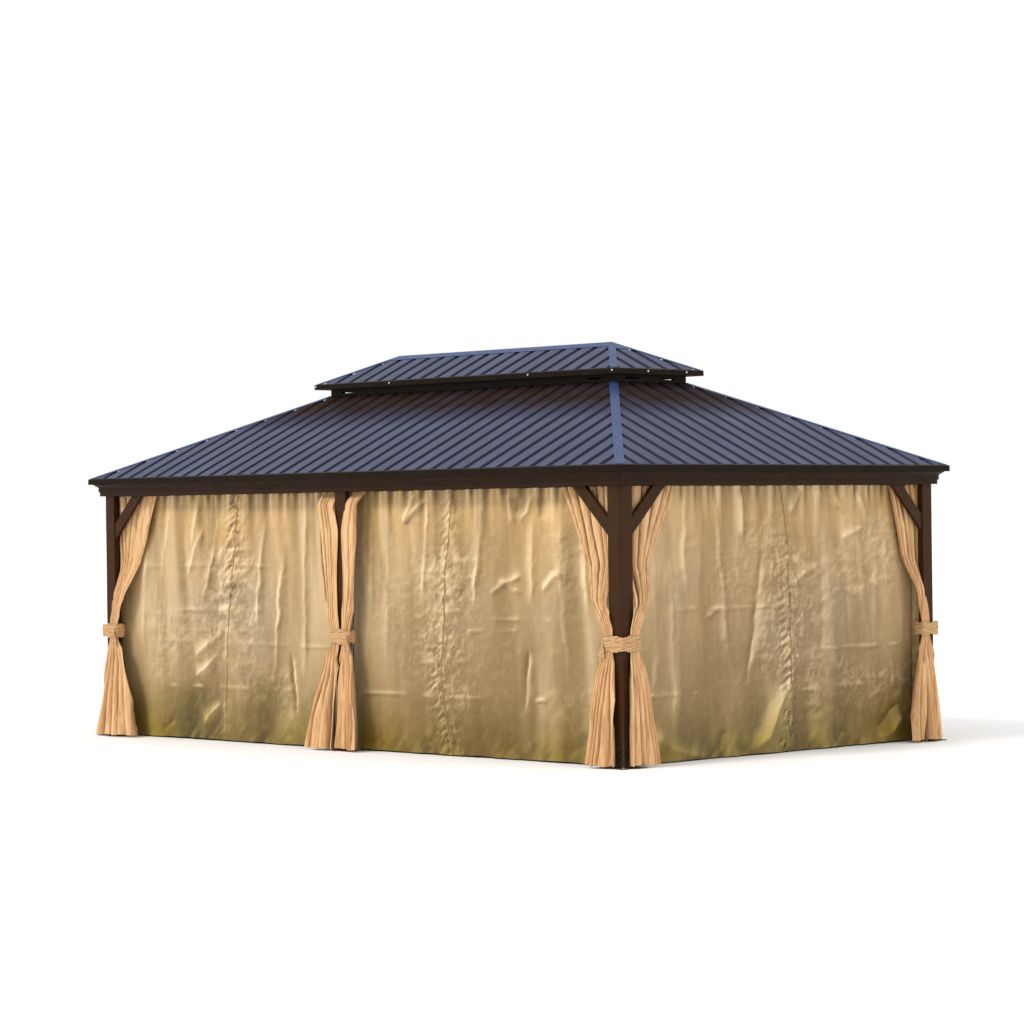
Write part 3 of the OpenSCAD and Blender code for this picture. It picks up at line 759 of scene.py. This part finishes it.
# Folds of each net: (u, z) lines in cm from the bay's left end, with a width and a height in mm;
# a crease has its z, both its ends in cm and its height in mm.
LEFT_BAY = dict(
    seam=[(144, 193), (138, 138), (132, 93), (127, 33), (128, 0)],
    ridges=[
        ([(202, 160), (194, 108), (186, 36)], 12, 11), ([(179, 175), (169, 120), (165, 75)], 13, 9),
        ([(228, 188), (224, 129), (225, 94), (223, 45)], 12, 10),
        ([(122, 180), (113, 141), (99, 103)], 16, 8), ([(104, 170), (90, 145), (79, 125)], 14, 7),
        ([(97, 190), (88, 150)], 15, 8), ([(62, 190), (50, 135), (44, 70)], 22, 7),
        ([(30, 185), (27, 120), (22, 60)], 20, 8), ([(207, 74), (215, 19)], 10, -10),
        ([(88, 64), (108, 76), (129, 87)], 20, 13), ([(129, 87), (145, 80), (160, 69)], 22, 9),
        ([(89, 48), (105, 58), (124, 70)], 22, 14), ([(124, 70), (135, 62), (145, 48)], 20, 9),
        ([(100, 12), (110, 20), (125, 30)], 22, 13), ([(125, 30), (134, 14)], 18, 9),
        ([(135, 136), (152, 127), (172, 114)], 16, 9),
        ([(130, 124), (148, 130), (162, 138)], 14, 8),
    ],
    sweeps=[
        ([(205, 30), (225, 10), (248, 3)], 30, 12), ([(62, 16), (45, 5)], 20, -10),
    ],
    creases=[
        (137, 30, 180, 3), (102, 70, 170, 4.5), (76, 130, 250, 3.5), (42, 60, 210, 5),
    ],
    seed=11,
)
RIGHT_BAY = dict(
    seam=[(110, 193), (102, 137), (99, 95), (95, 59), (100, 27), (108, 0)],
    ridges=[
        ([(143, 192), (137, 146), (130, 105)], 10, 10), ([(85, 192), (81, 149), (78, 105)], 10, 10),
        ([(72, 192), (57, 168)], 12, 12), ([(57, 168), (66, 176), (84, 188)], 12, 9),
        ([(167, 190), (172, 172), (177, 168)], 12, 10),
        ([(195, 190), (186, 176), (177, 168)], 12, 9), ([(178, 188), (176, 172)], 20, -12),
        ([(202, 188), (200, 170)], 20, -10), ([(186, 82), (180, 33)], 10, -9),
        ([(194, 180), (191, 105)], 16, 7), ([(220, 188), (222, 120), (230, 50)], 22, 8),
        ([(245, 185), (246, 100)], 18, 7), ([(42, 188), (40, 130), (35, 60)], 20, 8),
        ([(20, 188), (22, 100)], 18, 7), ([(147, 117), (165, 127), (184, 132)], 12, 10),
        ([(156, 129), (170, 122), (182, 119)], 12, 9),
        ([(202, 120), (214, 131), (230, 133)], 12, 9), ([(80, 134), (102, 130), (122, 120)], 13, 8),
    ],
    sweeps=[
        ([(84, 12), (95, 2)], 12, -10), ([(130, 12), (143, 2)], 12, -10),
        ([(108, 12), (120, 2)], 12, -9), ([(220, 40), (242, 12)], 35, 12),
    ],
    creases=[
        (134, 40, 120, 3.5), (99, 150, 210, 4.5), (90, 100, 200, 4), (68, 50, 130, 4),
        (42, 10, 220, 5.5),
    ],
    seed=37,
)
SIDE_BAY = dict(
    seam=[(166, 193), (173, 152), (174, 92), (176, 42), (173, 28), (166, 0)],
    ridges=[
        ([(96, 188), (101, 145), (109, 77), (115, 55)], 13, 12),
        ([(148, 160), (138, 93), (122, 40)], 14, -9), ([(65, 190), (62, 145), (66, 115)], 16, 10),
        ([(47, 150), (51, 70), (53, 46), (46, 16)], 24, 14),
        ([(30, 160), (34, 80), (30, 35)], 22, 9), ([(126, 190), (124, 152)], 16, 11),
        ([(190, 191), (175, 172)], 16, 11), ([(202, 192), (224, 182), (247, 173)], 12, 10),
        ([(218, 192), (238, 178)], 12, 8), ([(252, 190), (266, 166), (280, 158)], 14, 9),
        ([(264, 164), (234, 155)], 14, 11), ([(270, 152), (290, 142)], 14, 9),
        ([(178, 142), (195, 133), (212, 125)], 14, 12),
        ([(178, 120), (193, 130), (215, 136)], 13, 10), ([(176, 106), (160, 108)], 12, 10),
        ([(85, 100), (100, 106), (110, 100)], 12, 8),
    ],
    sweeps=[
        ([(176, 52), (160, 31), (151, 12), (130, 4)], 26, 30),
        ([(30, 26), (46, 10), (60, 5), (90, 3)], 18, 28), ([(20, 40), (32, 20), (44, 10)], 18, 18),
        ([(306, 20), (290, 8), (270, 3)], 22, 26), ([(300, 30), (272, 10)], 14, -12),
        ([(105, 20), (98, 3)], 14, -12), ([(235, 14), (225, 3)], 14, -12),
    ],
    creases=[
        (137, 210, 290, 4), (106, 50, 190, 3.5), (73, 200, 300, 5), (70, 140, 180, 5),
        (46, 20, 80, 4.5), (45, 250, 310, 5.5), (43, 180, 240, 4),
    ],
    seed=71,
)
# The long nets run on behind the legs of the corner posts, so no light shows beside them.
NET_PAST = 0.060
NET_APART = 0.005  # from the middle of a long wall to the net on its right
LONG_BAY_W = NET_END + NET_PAST - NET_APART
LONG_BAYS = (
    ("left_bay", -NET_END - NET_PAST, LONG_BAY_W, in_metres(LEFT_BAY, NET_PAST)),
    ("right_bay", NET_APART, LONG_BAY_W, in_metres(RIGHT_BAY)),
)
SHORT_BAYS = (("bay", -SIDE_NET_END, 2 * SIDE_NET_END, in_metres(SIDE_BAY)),)
for wall_name, bays, shift in (
    ("front", LONG_BAYS, 0), ("back", LONG_BAYS, 500),
    ("right", SHORT_BAYS, 0), ("left", SHORT_BAYS, 500),
):
    for name, start, length, folds in bays:
        folds = dict(folds, seed=folds["seed"] + shift)
        net_piece(f"net_{wall_name}_{name}", "net_" + wall_name, WALLS[wall_name], start, length,
                  **folds)


# ---- Curtains ----
def drape_reach(top_w, curve, z):
    """How far a tied curtain reaches past its post at height z above the tie, as in the CAD."""
    share = (z - TIE_HI) / (DRAPE_TOP - TIE_HI)
    return WRAP_SIDE + (top_w - WRAP_SIDE) * max(share, 0.0) ** curve


OUT_TIED = 0.0112  # middle of the tied cloth, out of the post's face
HALF_TIED = 0.0105


def curtain_path(top_w, curve, bend, meet, over, apart, cover, hem_w):
    """Rows of (z, near edge, far edge, middle o, half depth) down a tied curtain."""
    rows = [(z, -0.012, -CURTAIN_SET, 0.018) for z in np.linspace(DRAPE_TOP, bend, 6)]
    for t in (0.25, 0.5, 0.75, 1.0):
        middle = -CURTAIN_SET + t * (CURTAIN_SET + OUT_TIED)
        rows.append((bend + t * (meet - bend), 0.006, middle, 0.019 - 0.006 * t))
    rows += [
        (meet + t * (over - meet), 0.006 - 0.052 * t, OUT_TIED, HALF_TIED) for t in (0.33, 0.67)
    ]
    for t in np.linspace(0, 1, 7):
        near = -0.046 + apart * math.sin(math.pi * t) ** 1.4
        rows.append((over + t * (TIE_HI + 0.005 - over), near, OUT_TIED, HALF_TIED))
    rows = [(z, a, drape_reach(top_w, curve, z), o, h) for z, a, o, h in rows]
    rows += [
        (TIE_LO - 0.005, -0.046, WRAP_SIDE, OUT_TIED, HALF_TIED),
        (TIE_LO - 0.09, -0.30 * cover - 0.032, 0.22 * hem_w + 0.040, 0.024, 0.020),
        (0.40, -0.62 * cover - 0.012, 0.55 * hem_w + 0.030, 0.044, 0.038),
        (HEM_Z, -cover, hem_w, 0.066, 0.060),
    ]
    return np.array(rows)


def cloth_area(points):
    """The area of a grid of points."""
    across, down = points[1:, 1:] - points[:-1, :-1], points[1:, :-1] - points[:-1, 1:]
    return np.linalg.norm(np.cross(across, down), axis=-1).sum() / 2


def curtain(name, node, wall, side_u, direction, path, pleats, seed):
    """A pleated curtain along its path, from the rail through its tie band to the hem."""
    rows, cols = 130, 150
    z_line = np.linspace(DRAPE_TOP, HEM_Z, rows)
    keys = [np.interp(-z_line, -path[:, 0], path[:, k]) for k in range(1, 5)]
    kernel = np.ones(5) / 5
    near, far, middle, half = (np.convolve(np.pad(k, 2, "edge"), kernel, "valid") for k in keys)
    beside_post = (middle - half < 0.0) & (middle + half > -POST_T - 0.002)
    near = np.where(beside_post, np.maximum(near, 0.005), near)
    s, z = np.meshgrid(np.linspace(0, 1, cols), z_line)
    near, far, middle, half = (k[:, None] for k in (near, far, middle, half))
    free = smooth(np.abs(z - (TIE_HI + TIE_LO) / 2), 0.06, 0.30)
    phase = pleats * s + 0.15 + free * (
        1.55 * noise(seed, s * 2.4, z * 0.8) + 0.16 * noise(seed + 1, s * 9, z * 3)
    )
    crest = np.abs(np.sin(math.pi * phase))
    wave = 2 * crest**0.8 - 1
    strength = np.clip(0.72 + 0.50 * noise(seed + 2, phase * 0.55, z * 0.7), 0.18, 1.0)
    ripple = 0.20 * noise(seed + 3, s * pleats * 2.2, z * 3.5) * free
    depth = middle + half * np.clip(strength * wave + ripple, -1, 1)
    warp = s + 0.14 / pleats * noise(seed + 4, s * 5, z * 1.5) * np.sin(math.pi * s)
    edge_wave = 0.012 * noise(seed + 6, 0 * s, z * 5.0) * free * s**4
    a = near + (far - near) * np.clip(warp, 0, 1) + edge_wave
    heading = 0.006 * (1 - crest) * np.exp(-(DRAPE_TOP - z) / 0.03)
    rise = z - HEM_Z
    ragged = 0.012 * np.abs(noise(seed + 5, s * 5, 0 * z)) * np.exp(-rise / 0.08)
    points = wall.place(side_u + direction * a, depth, z - heading + ragged)
    # painted light on the pleats' crests and painted shade in their valleys
    fold_shade = 1 - (1 - crest) * np.clip(1.3 * strength - 0.15, 0, 1)
    flat_w = round(cloth_area(points) / (DRAPE_TOP - HEM_Z), 2)
    cloth = np.stack([s * flat_w, z, 0 * z], -1)
    if direction > 0:
        points, fold_shade, cloth = points[:, ::-1], fold_shade[:, ::-1], cloth[:, ::-1]
    made = grid_piece(name, points, CURTAIN, {"fold_shade": fold_shade, "cloth": cloth})
    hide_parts(node)
    at = near[0, 0] + (far[0, 0] - near[0, 0]) * (np.arange(pleats) + 0.5) / pleats
    rings = gliders(name, wall, side_u + direction * at, CURTAIN_SET)


# Width at the top and at the hem of each curtain; the left wall repeats the right one and the
# back wall the front one, turned half round.
CORNER_ENDS = {"front": ((0.47, 0.34), (0.52, 0.17)), "right": ((0.50, 0.16), (0.32, 0.25))}
MIDDLE_ENDS = ((0.190, 0.280), (0.155, 0.200))
HEM_COVER = 0.111
seed = 200
for wall_name, wall in WALLS.items():
    first, last = CORNERS[wall_name]
    edge = wall.half_run - POST_W
    ends = CORNER_ENDS["front" if wall_name in ("front", "back") else "right"]
    hung = []
    for place, post, side_u, direction, (top_w, hem_w) in (
        ("left", first, -edge, 1, ends[0]), ("right", last, edge, -1, ends[1])
    ):
        path = curtain_path(top_w, 1.0, 1.39, 1.15, 0.94, 0.0, HEM_COVER, hem_w)
        hung.append((place, post, side_u, direction, path, 6))
    if wall_name in ("front", "back"):
        for place, direction, (top_w, hem_w) in (
            ("middle_left", -1, MIDDLE_ENDS[0]), ("middle_right", 1, MIDDLE_ENDS[1])
        ):
            path = curtain_path(top_w, 0.5, 1.932, 1.855, 1.64, 0.022, POST_W / 2 - 0.004, hem_w)
            hung.append((place, wall_name + "_middle", direction * POST_W / 2, direction, path, 5))
    for place, post, side_u, direction, path, pleats in hung:
        seed += 20
        curtain(f"curtain_{wall_name}_{place}", "curtains_" + post, wall, side_u, direction, path,
                pleats, seed)


# ---- Tie bands ----
def rounded(outline, radius, step):
    """A closed outline with rounded corners, as evenly spaced points."""
    points = []
    count = len(outline)
    for k in range(count):
        before, at, after = (np.array(outline[(k + j) % count], float) for j in (-1, 0, 1))
        a = at + (before - at) / np.linalg.norm(before - at) * radius
        b = at + (after - at) / np.linalg.norm(after - at) * radius
        for t in np.linspace(0, 1, 7):
            points.append((1 - t) ** 2 * a + 2 * t * (1 - t) * at + t * t * b)
    points = np.array(points + points[:1])
    along = np.concatenate([[0], np.cumsum(np.hypot(*np.diff(points, axis=0).T))])
    at = np.linspace(0, along[-1], int(along[-1] / step) + 1)[:-1]
    return np.stack([np.interp(at, along, points[:, k]) for k in (0, 1)], -1), along[-1]


BAND_CUT = 0.12
TAIL_W = 0.025
TAIL_FROM = TIE_LO + 0.075


def tie_band(name, outline, signs, start, knot, seed):
    """A wrinkled band round a post and its curtains, with two loose ends where it is tied."""

    def place(x, y, z):
        return np.stack([signs[0] * (start - x), signs[1] * (HALF_W - y), z], -1)

    line, length = rounded(outline, 0.016, 0.005)
    cols, rows = len(line), 22
    ahead = np.roll(line, -1, 0) - np.roll(line, 1, 0)
    normal = np.stack([ahead[:, 1], -ahead[:, 0]], -1)
    normal /= np.linalg.norm(normal, axis=1)[:, None]
    v, t = np.meshgrid(np.linspace(0, 1, rows), np.arange(cols) / cols, indexing="ij")
    around = np.minimum(t, 1 - t) * 2
    lines = noise(seed, around * 6, v * 9 + 1.5 * noise(seed + 1, around * 5, v * 2))
    bulge = 0.0050 * np.sin(math.pi * v) + 0.0034 * lines
    bulge += 0.0012 * noise(seed + 2, around * 26, v * 12)
    pinch = 0.09 + 0.08 * noise(seed + 3, around * 7, 0 * v)
    pinch += 0.03 * noise(seed + 4, around * 19, 0 * v)
    z = TIE_LO + (TIE_HI - TIE_LO) * (pinch + v * (1 - 2 * pinch))
    flat = line[None] + normal[None] * bulge[..., None]
    cloth = np.stack([t * length, v * BAND_CUT, 0 * v], -1)
    points = place(flat[..., 0], flat[..., 1], z)
    band = grid_piece(name, points, BAND, {"cloth": cloth}, ring=True)
    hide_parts("tie_bands")
    for k, (lean, reach) in enumerate(((0.16, 0.17), (-0.05, 0.13))):
        t, s = np.meshgrid(np.linspace(0, 1, 26), np.linspace(-0.5, 0.5, 7), indexing="ij")
        wide = 0.013 + 0.012 * smooth(t, 0.0, 0.5)
        fall = reach * t
        side = lean * reach * np.sin(2.2 * t) + k * 0.006
        out = 0.007 + 0.010 * np.sin(math.pi * t) + 0.003 * np.cos(6 * s + 9 * t + k)
        points = place(knot[0] + (side + s * wide), knot[1] - out, TAIL_FROM - fall)
        cloth = np.stack([s * TAIL_W, fall, 0 * s], -1)
        tail = grid_piece(
            f"{name}_tail_{k + 1}", points, BAND, {"cloth": cloth}
        )


BAND_OUT = WRAP_OUT + 0.0025
BAND_SIDE = WRAP_SIDE + 0.0033
INNER = POST_W + BAND_SIDE
for sx in (-1, 1):
    for sy in (-1, 1):
        outline = [(-BAND_OUT, -BAND_OUT), (INNER, -BAND_OUT), (INNER, POST_T + 0.002),
                   (POST_T + 0.002, INNER), (-BAND_OUT, INNER)]
        corner = "{}_{}".format("front" if sy < 0 else "back", "left" if sx < 0 else "right")
        tie_band("tie_band_" + corner, outline, (sx, sy), HALF_L,
                 (INNER - 0.020, -BAND_OUT), 900 + 7 * sx + 3 * sy)
for sy in (-1, 1):
    reach, inside = POST_W / 2 + BAND_SIDE, POST_T + 0.003
    outline = [(-reach, -BAND_OUT), (reach, -BAND_OUT), (reach, inside), (-reach, inside)]
    side = "front" if sy < 0 else "back"
    tie_band(f"tie_band_{side}_middle", outline, (sy, sy), 0.0,
             (reach - 0.018, -BAND_OUT), 950 + sy)


# ---- Screws and bolts ----
ground_bolts = Parts()
BOLT_IN = PLATE_REACH - 0.025  # the bolts' middles, past the post's faces
for sx in (-1, 0, 1):
    for sy in (-1, 1):
        depth = POST_W if sx else POST_T
        if sx:
            xs = (sx * (HALF_L - POST_W - BOLT_IN), sx * (HALF_L + BOLT_IN))
        else:
            xs = (-POST_W / 2 - BOLT_IN, POST_W / 2 + BOLT_IN)
        for x in xs:
            for y in (HALF_W - depth - BOLT_IN, HALF_W + BOLT_IN):
                ground_bolts.bolt(Vector((x, sy * y, PLATE_TOP)), UP, 0.0085, 0.0065)
ground_bolts.piece("ground_bolts", STEEL)

frame_screws = Parts()
for wall in WALLS.values():
    out = Vector(wall.out)
    for end in (-1, 1):
        side = end * (wall.half_run - POST_W)
        for along, down in ((0.035, 0.300), (0.075, 0.262), (0.290, 0.045), (0.252, 0.085)):
            at = wall.point(side - end * along, -0.0082, BEAM_Z - down)
            frame_screws.bolt(at, out, 0.0060, 0.0045)
        for up in (0.020, 0.050):
            at = wall.point(
                end * (wall.half_run + 0.005), 0.0275 + 0.008 * (up > 0.03), BEAM_Z + up
            )
            frame_screws.dome(at, out, 0.0045, 0.0030)
frame_screws.piece("frame_screws", PLASTIC)

trim_screws = Parts()
FASCIA_Z = low("upper_trim_long_sides", 2) + 0.024
FASCIA_END = high("upper_trim_long_sides", 0) - 0.018
FASCIA_Y = high("upper_trim_long_sides", 1)
FASCIA_X = high("upper_trim_short_sides", 0)
for sign in (-1, 1):
    for x in (-FASCIA_END, -0.784, 0.784, FASCIA_END):
        at = Vector((x, sign * FASCIA_Y, FASCIA_Z))
        trim_screws.dome(at, (0, sign, 0), 0.0085, 0.0045)
for sign in (-1, 1):
    for y in (-0.122, 0.300):
        at = Vector((sign * FASCIA_X, y, FASCIA_Z))
        trim_screws.dome(at, (sign, 0, 0), 0.0085, 0.0045)
trim_screws.piece("trim_screws", STEEL)


# ---- Floor, light and camera ----
FLOOR_HALF = 400.0
LIGHT_COLOUR = (1.0, 0.975, 0.94)
# Each light's name, direction, energy and angle
LIGHTS = (
    ("key", (0.12, 1.0, -0.90), 1.45, 14.0),
    ("rim", (-1.0, -0.10, -0.80), 0.30, 40.0),
)
CAMERA_PLACE = (18.098, -17.484, 1.736)
CAMERA_TURN = (45.846, 0.077, -0.731)  # yaw, pitch and roll in degrees
CAMERA_LENS = 112.66


def stage():
    """The floor, the white world and the two lights."""
    corners = ((-1, -1), (1, -1), (1, 1), (-1, 1))
    mesh = bpy.data.meshes.new("floor")
    mesh.from_pydata([(x * FLOOR_HALF, y * FLOOR_HALF, 0) for x, y in corners], [], [(0, 1, 2, 3)])
    floor = bpy.data.objects.new("floor", mesh)
    bpy.context.scene.collection.objects.link(floor)
    f = Finish("pale_floor", Specular_IOR_Level=0.0)
    tone = f.mix(f.noise(0.4, 3.0, 0.5), (0.93, 0.93, 0.93), (0.90, 0.90, 0.90))
    mesh.materials.append(f.done(tone, None, f.map(f.noise(1.0, 2.0, 0.5), 0.3, 0.7, 0.8, 0.95)))

    world = bpy.data.worlds.new("studio")
    bpy.context.scene.world = world
    world.use_nodes = True
    background = world.node_tree.nodes["Background"].inputs
    background["Color"].default_value = (1.0, 1.0, 1.0, 1.0)
    background["Strength"].default_value = 1.0

    for name, towards, energy, angle in LIGHTS:
        light = bpy.data.lights.new(name, "SUN")
        light.energy, light.angle = energy, math.radians(angle)
        light.color = LIGHT_COLOUR
        lamp = bpy.data.objects.new(name, light)
        lamp.rotation_mode = "QUATERNION"
        lamp.rotation_quaternion = Vector(towards).to_track_quat("-Z", "Y")
        bpy.context.scene.collection.objects.link(lamp)


def camera():
    """The camera, where the photo was taken from."""
    yaw, pitch, roll = (math.radians(angle) for angle in CAMERA_TURN)
    level = math.cos(pitch)
    ahead = Vector((-math.sin(yaw) * level, math.cos(yaw) * level, math.sin(pitch)))
    right = Vector((math.cos(yaw), math.sin(yaw), 0))
    up = right.cross(ahead)
    turned = math.cos(roll) * right + math.sin(roll) * up
    upright = -math.sin(roll) * right + math.cos(roll) * up
    data = bpy.data.cameras.new("camera")
    data.sensor_width, data.lens = 36.0, CAMERA_LENS
    data.clip_end = 1000.0
    cam = bpy.data.objects.new("camera", data)
    axes = Matrix((turned, upright, -ahead)).transposed()
    cam.matrix_world = Matrix.Translation(CAMERA_PLACE) @ axes.to_4x4()
    bpy.context.scene.collection.objects.link(cam)
    bpy.context.scene.camera = cam


stage()
camera()
bpy.context.scene.view_settings.view_transform = "Standard"
